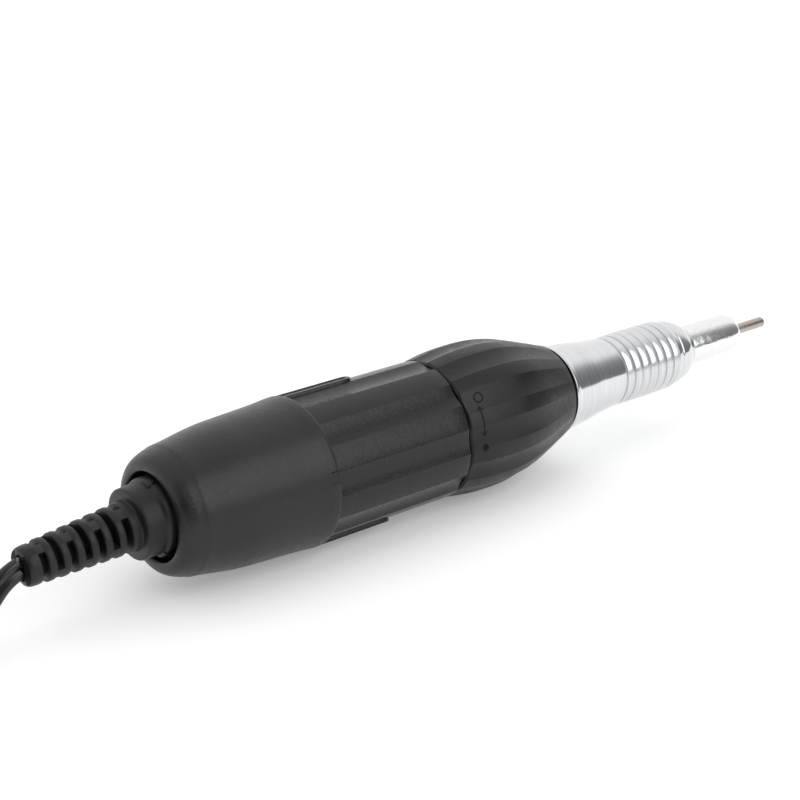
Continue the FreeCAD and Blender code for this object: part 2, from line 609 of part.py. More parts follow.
pin_hole(sleeve, "release_station", "release_pin", "sleeve_pin_hole")
pusher = ring("pusher_ring", "pusher_rear", "pusher_front", "pusher_bore", "pusher_radius",
              roll="cam_roll")
pin_hole(pusher, "release_station", "release_pin", "pusher_pin_hole")
radial_pins("release_pins", "release_station", "release_pin", "release_inner", "release_outer",
            ((TOWARDS_Y, "y", ""), (AGAINST_Y, "y", "-")), roll="cam_roll")

# Nose cone with its ring grooves, the bearings inside it, and the front cap.
nose = turned("nose_cone", [
    ("nose_rear", "thread_radius"), ("nose_rear", "nose_spigot"), ("nose_rim", "nose_spigot"),
    ("nose_rim", "nose_rim_radius"), ("nose_rim_front", "nose_rim_radius"),
    ("nose_flare", "nose_flare_radius", "-nose_hollow"), ("nose_waist", "nose_waist_radius", "-nose_hollow"),
    ("nose_plain", "nose_plain_radius"), ("nose_shoulder", "nose_shoulder_radius", "nose_hollow"),
    ("nose_front", "nose_front_radius", "nose_round"), ("nose_front", "cap_radius"),
    ("nose_bore_front", "cap_radius"), ("nose_bore_front", "nose_bore"), ("nose_rim", "nose_bore"),
    ("nose_rim", "thread_radius"),
])
nose_groove = groove(nose, rectangle("groove_first", "groove_first + groove_width",
                                     "nose_plain_radius - groove_depth", "nose_rim_radius"),
                     "nose_groove")
along(nose, nose_groove, "groove_pitch", "groove_count", "nose_grooves")
turned("front_cap", [
    ("cap_rear", "cap_bore"), ("cap_rear", "cap_radius"), ("cap_round", "cap_radius"),
    ("cap_front", "cap_front_radius", "cap_bend"), ("cap_front", "cap_hole"),
    ("cap_wall", "cap_hole"), ("cap_wall", "cap_bore"),
])
ring("front_seal", "front_seal_rear", "front_seal_front", "seal_bore", "cap_bore")
ring("bearing_nut", "nut_rear", "nut_front", "nut_bore", "nose_bore")
ring("bearing_spacer", "bearing_one + bearing_width", "bearing_two", "spacer_bore", "nose_bore")
SPINDLE_BEARINGS = ("bearing_one", "bearing_two", "bearing_three")
race_set("spindle_outer_races", SPINDLE_BEARINGS, "bearing_width", "outer_land", "bearing_radius")
race_set("spindle_inner_races", SPINDLE_BEARINGS, "bearing_width", "spindle_radius", "inner_land")
ball_ring("spindle_balls", SPINDLE_BEARINGS, "bearing_width", "ball_circle", "ball_radius",
          "ball_count")

# Spindle with its drive tang, the collet in its bore, and the spring that closes it.
spindle = turned("spindle", [
    ("tang_rear", "0"), ("tang_rear", "spindle_radius"), ("spindle_front", "spindle_radius"),
    ("spindle_front", "spindle_bore"), ("spindle_bore_rear", "spindle_bore"),
    ("spindle_bore_rear", "0"),
])
for side, low, high in (("upper", "tang_half", "spindle_radius + 1"),
                        ("lower", "- spindle_radius - 1", "- tang_half")):
    pocket(spindle, "XZ_Plane", rectangle("tang_rear - 1", "tang_front", low, high), f"tang_{side}")
pocket(spindle, "XZ_Plane", rectangle("cross_slot_rear", "cross_slot_front", "- cross_slot_half",
                                     "cross_slot_half"), "cross_slot")
ring("spring_stop", "stop_rear", "stop_front", "spindle_radius", "stop_radius")
spring = coil("collet_spring", "spring_coil", "spring_wire", "spring_pitch",
              "spring_front - spring_rear", ("0", "0", "0"), (FreeCAD.Vector(0, 1, 0), 90))
spring.setExpression("Placement.Base.x", "-sizes.middle + sizes.spring_rear + sizes.spring_wire")
spring.setExpression("Placement.Base.z", "sizes.axis_height")
keep(spring, "collet_spring", placed=False)

drawbar = ring("drawbar", "drawbar_rear", "collet_rear", "0", "collet_radius - 0.1")
pin_hole(drawbar, "cross_station", "cross_pin", "drawbar_hole")
carrier = ring("cross_pin_carrier", "carrier_rear", "carrier_front", "carrier_bore",
               "carrier_radius")
pin_hole(carrier, "cross_station", "cross_pin", "carrier_hole")
group("cross_pin", [primitive("Part::Cylinder", "cross_pin_rod", {
    "Radius": "cross_pin", "Height": "cross_reach + cross_reach - 0.2"},
    ("sizes.cross_station", "0.1 - sizes.cross_reach", "0"), TOWARDS_Y)])
collet = ring("collet", "collet_rear", "collet_front", "collet_bore", "collet_radius")
slit = pocket(collet, "XZ_Plane", rectangle("slit_rear", "collet_front + 1", "0.5",
                                            "collet_radius + 1"), "collet_slit", "slit_width")
around(collet, slit, "3", "collet_slits")

turned("burr_shank", [
    ("shank_rear", "0"), ("shank_rear", "shank_radius"), ("shank_neck_rear", "shank_radius"),
    ("shank_neck_rear", "shank_neck_radius"), ("shank_neck_front", "shank_neck_radius"),
    ("shank_neck_front", "shank_radius"), ("shank_front - shank_chamfer", "shank_radius"),
    ("shank_front", "shank_radius - shank_chamfer"), ("shank_front", "0"),
])

# Detents of the ring: two balls and springs in blind holes of its wall.
group("detent_balls", [
    primitive("Part::Sphere", f"detent_ball_{side}", {"Radius": "detent_ball"},
              ("sizes.detent_station", f"{sign}sizes.detent_centre", "0"))
    for side, sign in (("left", ""), ("right", "-"))
])
group("detent_springs", [
    coil(f"detent_spring_{side}", "detent_coil", "detent_wire", "0.6",
         "detent_depth - detent_centre - detent_ball - 0.6",
         ("sizes.detent_station", f"{sign}(sizes.detent_centre + sizes.detent_ball + 0.3)", "0"), turn)
    for side, sign, turn in (("left", "", TOWARDS_Y), ("right", "-", AGAINST_Y))
])

# Wires from the cord's end to the end bell, either side of the axis.
WIRE_ROUTE = [(34.3, 1.2, 0.5), (37.0, 3.6, 0.3), (40.4, 8.4, 0.0), (43.5, 8.4, 0.0)]
wire_ends = []
for side in (1, -1):
    wire = bent_tube([(x, side * y, z) for x, y, z in WIRE_ROUTE], value("wire_radius"), "lead wire")
    wire_ends.append(wire)
fixed_shape("lead_wires", Part.makeCompound(wire_ends))

# Cord: out of the boot, down to the surface, and into a tied hank in line with the handpiece.
EXIT_X = -value("middle") + value("cover_hole_plane") * (1 - math.cos(math.radians(value("boot_droop"))))
EXIT_Z = (value("axis_height") + value("boot_lift")
          - value("cover_hole_plane") * math.sin(math.radians(value("boot_droop"))))
HANK_X = EXIT_X + value("hank_front")
CORD_ROUTE = [
    (EXIT_X, 0.0, EXIT_Z), (EXIT_X - 3.6, 0.0, EXIT_Z - 0.214), (EXIT_X - 8.5, 0.4, 8.4),
    (EXIT_X - 15.1, 1.2, 4.3), (EXIT_X - 22.6, 2.4, 2.6), (HANK_X, 2.4, 2.6),
]
lead = bent_tube(CORD_ROUTE, value("cord_radius"), "cord")
fixed_shape("cord_lead", lead, placed=False)
REAR_X = HANK_X - value("hank_length")

hank = doc.addObject("PartDesign::Body", "cord_hank")
hank_sketch = new_sketch(hank, "XY_Plane", "hank_outline")
draw_outline(hank_sketch, [
    ("0", "- hank_half + hank_round"), ("0", "hank_half - hank_round"),
    ("hank_round", "hank_half", "hank_round"), ("hank_length - hank_round", "hank_half"),
    ("hank_length", "hank_half - hank_round", "hank_round"),
    ("hank_length", "- hank_half + hank_round"),
    ("hank_length - hank_round", "- hank_half", "hank_round"), ("hank_round", "- hank_half"),
    ("0", "- hank_half + hank_round", "hank_round"),
][1:])
hank_pad = hank.newObject("PartDesign::Pad", "hank_pad")
hank_pad.Profile = hank_sketch
hank_pad.Length = value("hank_height")
hank_pad.setExpression("Length", bound("hank_height"))
hank.Placement = FreeCAD.Placement(FreeCAD.Vector(REAR_X, 0, value("hank_lift")), FreeCAD.Rotation())
keep(hank, "cord_hank", placed=False)

TIE_X = REAR_X + (value("hank_length") - value("tie_length")) / 2
tie = doc.addObject("Part::Cut", "cord_tie")
tie.Base = primitive("Part::Box", "tie_outside", {
    "Length": "tie_length", "Width": "hank_half + hank_half + tie_wall + tie_wall",
    "Height": "hank_lift + hank_height + tie_wall"},
    (str(TIE_X), "-sizes.hank_half - sizes.tie_wall", "0"))
tie.Tool = primitive("Part::Box", "tie_inside", {
    "Length": "tie_length", "Width": "hank_half + hank_half", "Height": "hank_height"},
    (str(TIE_X), "-sizes.hank_half", "sizes.hank_lift"))
keep(tie, "cord_tie", placed=False)


def on_plug(thing):
    """Puts a piece of the plug at the hank's far end, pointing away from the handpiece."""
    thing.Placement = FreeCAD.Placement(FreeCAD.Vector(REAR_X, 0, value("plug_radius")),
                                        FreeCAD.Rotation(FreeCAD.Vector(0, 0, 1), 180))
    thing.setExpression("Placement.Base.x", None)
    thing.setExpression("Placement.Base.z", "sizes.plug_radius")


on_plug(turned("plug_body", [
    ("0", "0"), ("0", "plug_relief_radius - 0.6"), ("plug_relief", "plug_relief_radius"),
    ("plug_relief", "plug_radius - 1"), ("plug_relief + 1", "plug_radius", "1"),
    ("plug_face - 1", "plug_radius"), ("plug_face", "plug_radius - 1", "1"), ("plug_face", "0"),
]))
on_plug(ring("plug_barrel", "plug_face", "plug_tip", "plug_barrel_bore", "plug_barrel_radius"))
on_plug(ring("plug_insulator", "plug_face", "plug_tip - 0.3", "plug_contact_bore",
             "plug_barrel_bore"))

doc.recompute()
for thing in doc.Objects:
    if "Invalid" in thing.State or "Error" in thing.State:
        raise RuntimeError(f"{thing.Label} failed: {thing.State}")
for part in parts:
    if part.Shape.isNull() or not part.Shape.isValid():
        raise RuntimeError(f"{part.Label} has no valid shape")
os.makedirs("parts", exist_ok=True)
for part in parts:
    part.Shape.exportStep(f"parts/{part.Label}.step")
print(f"{len(parts)} sub-parts written")
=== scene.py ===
import json
import math

import bpy
from mathutils import Matrix, Vector


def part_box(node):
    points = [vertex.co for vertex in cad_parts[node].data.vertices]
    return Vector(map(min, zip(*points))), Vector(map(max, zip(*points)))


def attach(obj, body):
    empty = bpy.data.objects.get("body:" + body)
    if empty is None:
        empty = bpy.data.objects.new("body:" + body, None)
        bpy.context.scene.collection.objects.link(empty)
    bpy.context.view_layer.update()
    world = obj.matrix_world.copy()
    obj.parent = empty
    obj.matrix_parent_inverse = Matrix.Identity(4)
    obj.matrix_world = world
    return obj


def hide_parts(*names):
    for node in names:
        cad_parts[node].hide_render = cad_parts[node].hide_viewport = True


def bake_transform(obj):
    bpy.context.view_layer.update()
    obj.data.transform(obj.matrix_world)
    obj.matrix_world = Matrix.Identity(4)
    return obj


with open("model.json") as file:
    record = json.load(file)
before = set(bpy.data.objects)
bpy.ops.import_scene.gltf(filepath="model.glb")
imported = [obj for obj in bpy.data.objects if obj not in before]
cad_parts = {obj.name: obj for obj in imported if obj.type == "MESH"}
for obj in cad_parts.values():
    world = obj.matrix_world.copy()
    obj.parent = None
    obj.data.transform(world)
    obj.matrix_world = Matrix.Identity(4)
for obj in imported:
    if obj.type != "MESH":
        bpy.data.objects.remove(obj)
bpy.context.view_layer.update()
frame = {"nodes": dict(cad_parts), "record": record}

MM = 0.001
TINY = 1e-6
BODY = "handpiece"
AXIS_Z = (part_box("burr_shank")[0].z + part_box("burr_shank")[1].z) / 2


def rear(node):
    """Where a CAD node begins along the handpiece."""
    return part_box(node)[0].x


# ---------------------------------------------------------------- camera
# The camera stands beyond the cord end, on the -Y side of the axis and above it.
COVER_HOLE_X = rear("rear_cover") + 1.1 * MM
CAMERA_FROM_HOLE = Vector((-164.8, -262.0, 140.4)) * MM
CAMERA_BACK = Vector((-0.6035, -0.7115, 0.3600))
CAMERA_LENS = 85.5


def make_camera():
    data = bpy.data.cameras.new("camera")
    data.lens = CAMERA_LENS
    data.sensor_width = 36.0
    data.clip_start = 0.01
    data.clip_end = 20.0
    camera = bpy.data.objects.new("camera", data)
    bpy.context.collection.objects.link(camera)
    camera.location = Vector((COVER_HOLE_X, 0, AXIS_Z)) + CAMERA_FROM_HOLE
    camera.rotation_euler = CAMERA_BACK.to_track_quat("Z", "Y").to_euler()
    bpy.context.scene.camera = camera


make_camera()


# ---------------------------------------------------------------- materials
CLOUD_SCALE = 90
RUBBER_CLOUD_SCALE = 160
SPECK_SCALE = 420
SPECK_EDGE = (0.015, 0.05)
SPECK_COLOUR = (0.22, 0.22, 0.22)
SMEAR_SCALE = 55
MOTTLE_SCALE = 140
TURNING_LINES = 9000
TURNING_HEIGHT = 0.0000016


def shader_of(material):
    return material.node_tree.nodes["Principled BSDF"]


def new_material(name, colour, roughness, metallic=0.0, specular=0.5):
    material = bpy.data.materials.new(name)
    material.use_nodes = True
    shader = shader_of(material)
    shader.inputs["Base Color"].default_value = (*colour, 1)
    shader.inputs["Roughness"].default_value = roughness
    shader.inputs["Metallic"].default_value = metallic
    shader.inputs["Specular IOR Level"].default_value = specular
    return material


def add(owner, kind, **settings):
    """A new node in a material or the world."""
    node = owner.node_tree.nodes.new(kind)
    for key, setting in settings.items():
        setattr(node, key, setting)
    return node


def join(owner, start, end):
    owner.node_tree.links.new(start, end)


def noise_field(material, scale, detail=3, stretch=(1, 1, 1), roughness=0.55):
    """Noise in the piece's own space, stretched along its axes."""
    place = add(material, "ShaderNodeTexCoord")
    mapping = add(material, "ShaderNodeMapping")
    mapping.inputs["Scale"].default_value = stretch
    field = add(material, "ShaderNodeTexNoise")
    field.inputs["Scale"].default_value = scale
    field.inputs["Detail"].default_value = detail
    field.inputs["Roughness"].default_value = roughness
    join(material, place.outputs["Object"], mapping.inputs["Vector"])
    join(material, mapping.outputs["Vector"], field.inputs["Vector"])
    return field.outputs["Fac"]


def spread(material, value, low, high, start=0.3, end=0.7):
    """Maps a field's middle range to low..high."""
    node = add(material, "ShaderNodeMapRange")
    node.inputs["From Min"].default_value = start
    node.inputs["From Max"].default_value = end
    node.inputs["To Min"].default_value = low
    node.inputs["To Max"].default_value = high
    join(material, value, node.inputs["Value"])
    return node.outputs["Result"]


def blend_colours(material, factor, first, second):
    """Mixes two colours; the first may be another node's output."""
    node = add(material, "ShaderNodeMix", data_type="RGBA")
    if isinstance(first, tuple):
        node.inputs["A"].default_value = (*first, 1)
    else:
        join(material, first, node.inputs["A"])
    node.inputs["B"].default_value = (*second, 1)
    join(material, factor, node.inputs["Factor"])
    return node.outputs["Result"]


def bump(material, height, distance, strength=1.0, under=None):
    """A normal from a height field, laid over another bump's where there is one."""
    node = add(material, "ShaderNodeBump")
    node.inputs["Distance"].default_value = distance
    node.inputs["Strength"].default_value = strength
    join(material, height, node.inputs["Height"])
    if under:
        join(material, under, node.inputs["Normal"])
    return node.outputs["Normal"]


def finish_shader(material, colour, roughness, normal):
    for key, value in (("Base Color", colour), ("Roughness", roughness), ("Normal", normal)):
        join(material, value, shader_of(material).inputs[key])
    return material


def moulded_plastic(name, dark, light, rough_low, rough_high, grain, grain_height, specular=0.5,
                    dust_and_glints=0.0):
    """Moulded plastic: a fine spark-eroded grain, slow cloudiness, an uneven sheen, and a few light
    specks that are dust and painted glints.
    """
    material = new_material(name, dark, rough_high, specular=specular)
    cloud = noise_field(material, CLOUD_SCALE)
    fine = noise_field(material, grain, 2, roughness=0.7)
    coarse = noise_field(material, grain * 0.32, 2)
    colour = blend_colours(material, spread(material, cloud, 0, 1), dark, light)
    # Light grey specks: dust on the plastic, and painted glints of its grain.
    if dust_and_glints:
        specks = add(material, "ShaderNodeTexVoronoi")
        specks.inputs["Scale"].default_value = SPECK_SCALE
        place = add(material, "ShaderNodeTexCoord")
        join(material, place.outputs["Object"], specks.inputs["Vector"])
        spot = spread(material, specks.outputs["Distance"], dust_and_glints, 0.0, *SPECK_EDGE)
        colour = blend_colours(material, spot, colour, SPECK_COLOUR)
    rough = spread(material, coarse, rough_low, rough_high)
    normal = bump(material, fine, grain_height)
    normal = bump(material, coarse, grain_height * 1.5, 0.6, normal)
    return finish_shader(material, colour, rough, normal)


def turned_metal(name, colour, rough_low, rough_high):
    """Metal off the lathe: fine rings round the axis, smears, and uneven polish."""
    material = new_material(name, colour, rough_high, metallic=1.0)
    rings = noise_field(material, 1, stretch=(TURNING_LINES, 25, 25), roughness=0.7)
    scratches = noise_field(material, 1, 4, stretch=(TURNING_LINES * 0.4, 90, 90), roughness=0.8)
    smear = noise_field(material, SMEAR_SCALE)
    darker = tuple(channel * 0.86 for channel in colour)
    mixed = blend_colours(material, spread(material, scratches, 0, 1, 0.42, 0.62), darker, colour)
    span = rough_high - rough_low
    rough = add(material, "ShaderNodeMath", operation="ADD")
    join(material, spread(material, scratches, 0, span * 0.6), rough.inputs[0])
    join(material, spread(material, smear, rough_low, rough_high - span * 0.4), rough.inputs[1])
    tangent = add(material, "ShaderNodeTangent", direction_type="RADIAL", axis="X")
    shader_of(material).inputs["Anisotropic"].default_value = 0.5
    join(material, tangent.outputs["Tangent"], shader_of(material).inputs["Tangent"])
    return finish_shader(material, mixed, rough.outputs["Value"], bump(material, rings, TURNING_HEIGHT))


def plain_metal(name, colour, low, high, scale=600, stretch=(1, 1, 1), depth=0.000006, streaks=0.7):
    """Machined, rolled or polished metal with streaks and a mottled polish."""
    material = new_material(name, colour, high, metallic=1.0)
    streak = noise_field(material, scale, 4, stretch=stretch, roughness=0.7)
    mottle = noise_field(material, MOTTLE_SCALE)
    darker = tuple(channel * streaks for channel in colour)
    mixed = blend_colours(material, spread(material, streak, 0, 1), darker, colour)
    return finish_shader(material, mixed, spread(material, mottle, low, high),
                         bump(material, streak, depth))


def rubber(name, dark, light, low, high, grain=2600, height=0.00001, specular=0.42):
    """Soft rubber or vinyl: slightly cloudy, with a fine grain."""
    material = new_material(name, dark, high, specular=specular)
    cloud = noise_field(material, RUBBER_CLOUD_SCALE)
    fine = noise_field(material, grain)
    mixed = blend_colours(material, spread(material, cloud, 0, 1), dark, light)
    return finish_shader(material, mixed, spread(material, cloud, low, high),
                         bump(material, fine, height))


COVER = moulded_plastic("cover_black", (0.0035, 0.004, 0.0045), (0.006, 0.0065, 0.007),
                        0.32, 0.39, 2600, 0.00004, specular=0.46, dust_and_glints=0.25)
HOUSING = moulded_plastic("housing_black", (0.0025, 0.003, 0.004), (0.005, 0.005, 0.0055),
                          0.21, 0.3, 2500, 0.00003, specular=0.4, dust_and_glints=0.35)
RING = moulded_plastic("ring_black", (0.005, 0.005, 0.0055), (0.008, 0.008, 0.0085),
                       0.3, 0.4, 1700, 0.00004, specular=0.34, dust_and_glints=0.5)
BOOT = rubber("boot_black", (0.005, 0.0055, 0.006), (0.0085, 0.009, 0.0095), 0.36, 0.46,
              specular=0.36)
# Dull, very dark black for the ring's printed marks; also painted shade inside the boot's mouth.
PRINT_AND_SHADE = rubber("print_and_shade_black", (0.003, 0.003, 0.003), (0.004, 0.004, 0.004), 0.6, 0.7, specular=0.16)
GLOSS = moulded_plastic("gloss_black", (0.01, 0.01, 0.01), (0.012, 0.012, 0.012), 0.06, 0.12, 900,
                        0.000002)
CORD = rubber("cord_black", (0.007, 0.007, 0.008), (0.011, 0.011, 0.012), 0.18, 0.26, 1400, 0.000004,
              specular=0.5)
TIE = rubber("tie_black", (0.02, 0.02, 0.021), (0.03, 0.03, 0.031), 0.4, 0.55, 1800, 0.00003)
SEAL = rubber("seal_rubber", (0.02, 0.02, 0.02), (0.03, 0.03, 0.03), 0.5, 0.6)
NOSE = turned_metal("nose_silver", (0.75, 0.77, 0.785), 0.06, 0.17)
# Darker, rougher metal on the groove floors: painted shade in the grooves.
GROOVE_SHADE = turned_metal("nose_groove", (0.5, 0.51, 0.53), 0.2, 0.32)
RIDGE = turned_metal("nose_ridge", (0.72, 0.74, 0.755), 0.16, 0.26)
CAP = plain_metal("cap_silver", (0.86, 0.87, 0.87), 0.04, 0.1, 800, depth=0.00006, streaks=0.93)
SHANK = plain_metal("shank_steel", (0.50, 0.46, 0.42), 0.24, 0.34, 900, (1, 0.05, 0.05))
STEEL = plain_metal("bright_steel", (0.6, 0.6, 0.62), 0.18, 0.3)
SPRING = plain_metal("spring_steel", (0.5, 0.5, 0.52), 0.2, 0.3)
ZINC = plain_metal("zinc_steel", (0.62, 0.63, 0.65), 0.25, 0.45, 220)
CORE = plain_metal("core_steel", (0.36, 0.36, 0.38), 0.3, 0.5, 1, (9000, 1, 1), 0.00004)
BRASS = plain_metal("sleeve_brass", (0.78, 0.6, 0.3), 0.2, 0.35)
ALUMINIUM = plain_metal("housing_aluminium", (0.75, 0.75, 0.77), 0.2, 0.35, 1, (6000, 20, 20))
COPPER = plain_metal("winding_copper", (0.72, 0.38, 0.22), 0.2, 0.35, 1, (300, 5000, 5000), 0.00005)
NICKEL = plain_metal("plug_nickel", (0.72, 0.71, 0.68), 0.1, 0.2)
FERRITE = moulded_plastic("ferrite", (0.05, 0.05, 0.055), (0.08, 0.08, 0.085), 0.5, 0.7, 2600, 0.00003)
CARBON = moulded_plastic("brush_carbon", (0.02, 0.02, 0.02), (0.04, 0.04, 0.04), 0.4, 0.6, 3200,
                         0.00003)
NYLON = moulded_plastic("bell_nylon", (0.62, 0.6, 0.54), (0.7, 0.68, 0.62), 0.35, 0.5, 2600, 0.00001)
RED = moulded_plastic("wire_red", (0.35, 0.02, 0.02), (0.45, 0.03, 0.03), 0.25, 0.35, 2000, 0.000005)
INSULATION = moulded_plastic("plug_insulation", (0.012, 0.012, 0.012), (0.02, 0.02, 0.02), 0.3, 0.4,
                             2400, 0.000008)

# Each material slot's finish.
MATERIALS = {
    "cover_black": COVER, "housing_black": HOUSING, "ring_black": RING, "boot_black": BOOT,
    "cord_black": CORD, "tie_black": TIE, "seal_rubber": SEAL, "nose_silver": NOSE,
    "cap_silver": CAP, "shank_steel": SHANK, "bright_steel": STEEL, "spring_steel": SPRING,
    "zinc_steel": ZINC, "core_steel": CORE, "sleeve_brass": BRASS,
    "housing_aluminium": ALUMINIUM, "winding_copper": COPPER, "ferrite": FERRITE,
    "brush_carbon": CARBON, "bell_nylon": NYLON, "wire_red": RED, "plug_nickel": NICKEL,
    "plug_insulation": INSULATION,
}
for entry in frame["record"]["subparts"]:
    node = frame["nodes"][entry["node"]]
    node.data.materials.clear()
    node.data.materials.append(MATERIALS[entry["material_slot"]])


# ---------------------------------------------------------------- outlines and turned pieces
# An outline's points are (station, radius) in mm, each station counted from where its piece begins.
def curve(points, steps):
    """A smooth line through the outline's points, with a number of steps between each two."""
    line = []
    padded = [points[0]] + list(points) + [points[-1]]
    for before, start, end, after in zip(padded, padded[1:], padded[2:], padded[3:]):
        for step in range(steps):
            part = step / steps
            line.append(tuple(
                0.5 * (2 * b + (c - a) * part + (2 * a - 5 * b + 4 * c - d) * part ** 2
                       + (3 * b - 3 * c + d - a) * part ** 3)
                for a, b, c, d in zip(before, start, end, after)))
    line.append(tuple(points[-1]))
    return line


SOFT_TURN = 0.45
SOFT_SHARE = 0.45
SOFT_STEPS = 3


def softened(outline, bend):
    """The closed outline with each corner sharper than SOFT_TURN radians made into a small arc."""
    result = []
    count = len(outline)
    for index in range(count):
        before = Vector(outline[index - 1])
        corner = Vector(outline[index])
        after = Vector(outline[(index + 1) % count])
        arriving = corner - before
        leaving = after - corner
        if corner.y < TINY or arriving.angle(leaving) < SOFT_TURN:
            result.append(tuple(corner))
            continue
        reach = min(bend, SOFT_SHARE * arriving.length, SOFT_SHARE * leaving.length)
        first = corner - arriving.normalized() * reach
        last = corner + leaving.normalized() * reach
        for step in range(SOFT_STEPS + 1):
            part = step / SOFT_STEPS
            result.append(tuple(first * (1 - part) ** 2 + corner * 2 * part * (1 - part)
                                + last * part ** 2))
    return result


def around(x, radius, angle, height=AXIS_Z):
    """The point at x metres and a radius in mm, its angle counted upwards from the -Y side."""
    return Vector((x, -math.cos(angle) * radius * MM, height + math.sin(angle) * radius * MM))


def strip_faces(rows, count, closed=False):
    """The faces that join rows of count vertices, with a cap at each end unless the rows close."""
    faces = []
    for row in range(rows if closed else rows - 1):
        following = (row + 1) % rows
        for corner in range(count):
            other = (corner + 1) % count
            faces.append((row * count + corner, row * count + other,
                          following * count + other, following * count + corner))
    if not closed:
        faces.append(tuple(reversed(range(count))))
        faces.append(tuple(range((rows - 1) * count, rows * count)))
    return faces


def mesh_piece(name, vertices, faces, slot, sharp, body=BODY, material=None):
    """A smooth-shaded mesh that rides on a body, with its slot's material unless another is given."""
    mesh = bpy.data.meshes.new(name)
    mesh.from_pydata(vertices, [], faces)
    mesh.validate()
    piece = bpy.data.objects.new(name, mesh)
    bpy.context.collection.objects.link(piece)
    mesh.shade_smooth()
    mesh.set_sharp_from_angle(angle=sharp)
    mesh.materials.append(material or MATERIALS[slot])
    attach(piece, body)
    return piece


def lathe(name, origin_x, outline, slot, segments, sharp, body=BODY, material=None, relief=None,
          height=AXIS_Z, start=0.0):
    """Turns a closed outline about an axis along X. relief(x, r, angle) gives the radius in mm.

    The outline goes forwards along the outside and back along the inside, so the faces look out.
    """
    vertices = []
    faces = []
    rings = []
    for x, r in outline:
        if r < TINY:
            rings.append([len(vertices)])
            vertices.append((origin_x + x * MM, 0, height))
            continue
        ring = []
        for segment in range(segments):
            angle = start + 2 * math.pi * segment / segments
            radius = relief(x, r, angle) if relief else r
            ring.append(len(vertices))
            vertices.append(around(origin_x + x * MM, radius, angle, height))
        rings.append(ring)
    for index, ring in enumerate(rings):
        following = rings[(index + 1) % len(rings)]
        if len(ring) == 1 and len(following) == 1:
            continue
        for segment in range(segments):
            other = (segment + 1) % segments
            if len(ring) == 1:
                faces.append((ring[0], following[segment], following[other]))
            elif len(following) == 1:
                faces.append((ring[other], ring[segment], following[0]))
            else:
                faces.append((ring[other], ring[segment], following[segment], following[other]))
    return mesh_piece(name, vertices, faces, slot, sharp, body, material)


# ---------------------------------------------------------------- cord
# The route's control points in metres: out of the boot, down to the surface, then to the hank.
CORD_WIDTH = 4.3 * MM
STRAND = CORD_WIDTH / 4
CORD_EXIT = (-0.096534, 0.0, 0.013217)
CORD_ROUTE = [
    CORD_EXIT, (-0.099534, 0.0, 0.012417), (-0.103734, 0.0003, 0.0072),
    (-0.110034, 0.0012, 0.0036), (-0.119152, 0.0024, 0.0026), (-0.126552, 0.0066, 0.0026),
]
HANK_LOW, HANK_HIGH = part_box("cord_hank")
CORD_TAIL = [
    (HANK_LOW.x + 0.014, 0.0075, 0.0062), (HANK_LOW.x + 0.007, 0.002, 0.0051),
    (HANK_LOW.x - 0.0015, 0.0, 0.0049),
]
FOLD_RADII = (14.25 * MM, 12.0 * MM, 9.75 * MM)
LAYER_HEIGHTS = (2.5 * MM, 6.9 * MM)
FOLD_STEPS = 7
FOLD_SPREAD = 1.02


def hank_turns():
    """Three turns side by side, then three more over them: each is two runs and two folds."""
    middle_x = (HANK_LOW.x + HANK_HIGH.x) / 2
    half_run = (HANK_HIGH.x - HANK_LOW.x) / 2 - FOLD_RADII[0] - STRAND
    within = half_run * 0.45
    points = []
    turns = [(radius, LAYER_HEIGHTS[0]) for radius in FOLD_RADII]
    turns += [(radius, LAYER_HEIGHTS[1]) for radius in reversed(FOLD_RADII)]
    for radius, height in turns:
        lift = height + HANK_LOW.z
        spread_radius = radius * FOLD_SPREAD
        points.append((middle_x + within, radius, lift))
        for end in (-1, 1):
            for step in range(FOLD_STEPS + 1):
                turn = math.pi * step / FOLD_STEPS
                points.append((middle_x + end * (half_run + spread_radius * math.sin(turn)),
                               -end * spread_radius * math.cos(turn), lift))
            if end < 0:
                points.append((middle_x - within, -radius, lift))
                points.append((middle_x + within, -radius, lift))
    return points


def cord_line():
    """The cord's centreline, read from one smooth curve through all of its control points."""
    route = CORD_ROUTE + hank_turns() + CORD_TAIL
    data = bpy.data.curves.new("cord_route", "CURVE")
    data.dimensions = "3D"
    data.resolution_u = 6
    spline = data.splines.new("NURBS")
    spline.points.add(len(route) - 1)
    for point, place in zip(spline.points, route):
        point.co = (*place, 1)
    spline.order_u = 3
    spline.use_endpoint_u = True
    guide = bpy.data.objects.new("cord_route", data)
    bpy.context.collection.objects.link(guide)
    mesh = bpy.data.meshes.new_from_object(guide)
    line = [vertex.co.copy() for vertex in mesh.vertices]
    bpy.data.objects.remove(guide)
    return line


def twin_section():
    """Outline of two round strands moulded together, one above the other."""
    steps = 12
    valley = math.radians(68)
    section = []
    for side in (1, -1):
        for step in range(steps + 1):
            turn = -valley + (math.pi + 2 * valley) * step / steps
            across = STRAND * math.cos(turn)
            up = STRAND * (0.98 + math.sin(turn))
            section.append((side * across, side * up))
    return section[::-1]


def twin_tube(name, line):
    """A flat twin cord along a line, its wide side upright."""
    section = twin_section()
    vertices = []
    for index, point in enumerate(line):
        before = line[max(index - 1, 0)]
        after = line[min(index + 1, len(line) - 1)]
        along = (after - before).normalized()
        side = along.cross(Vector((0, 0, 1))).normalized()
        up = side.cross(along)
        for across, height in section:
            vertices.append(point + side * across + up * height)
    faces = strip_faces(len(line), len(section))
    return mesh_piece(name, vertices, faces, "cord_black", 1.0)


def make_cord():
    line = cord_line()
    cord = twin_tube("twin_cord", line)
    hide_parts("cord_lead")
    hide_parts("cord_hank")


# ---------------------------------------------------------------- rear cover
NOTCH_ANGLE = math.radians(14.6)
NOTCH_HALF = math.radians(4.8)
NOTCH_REAR = 30.63
NOTCH_FLOOR = 14.14


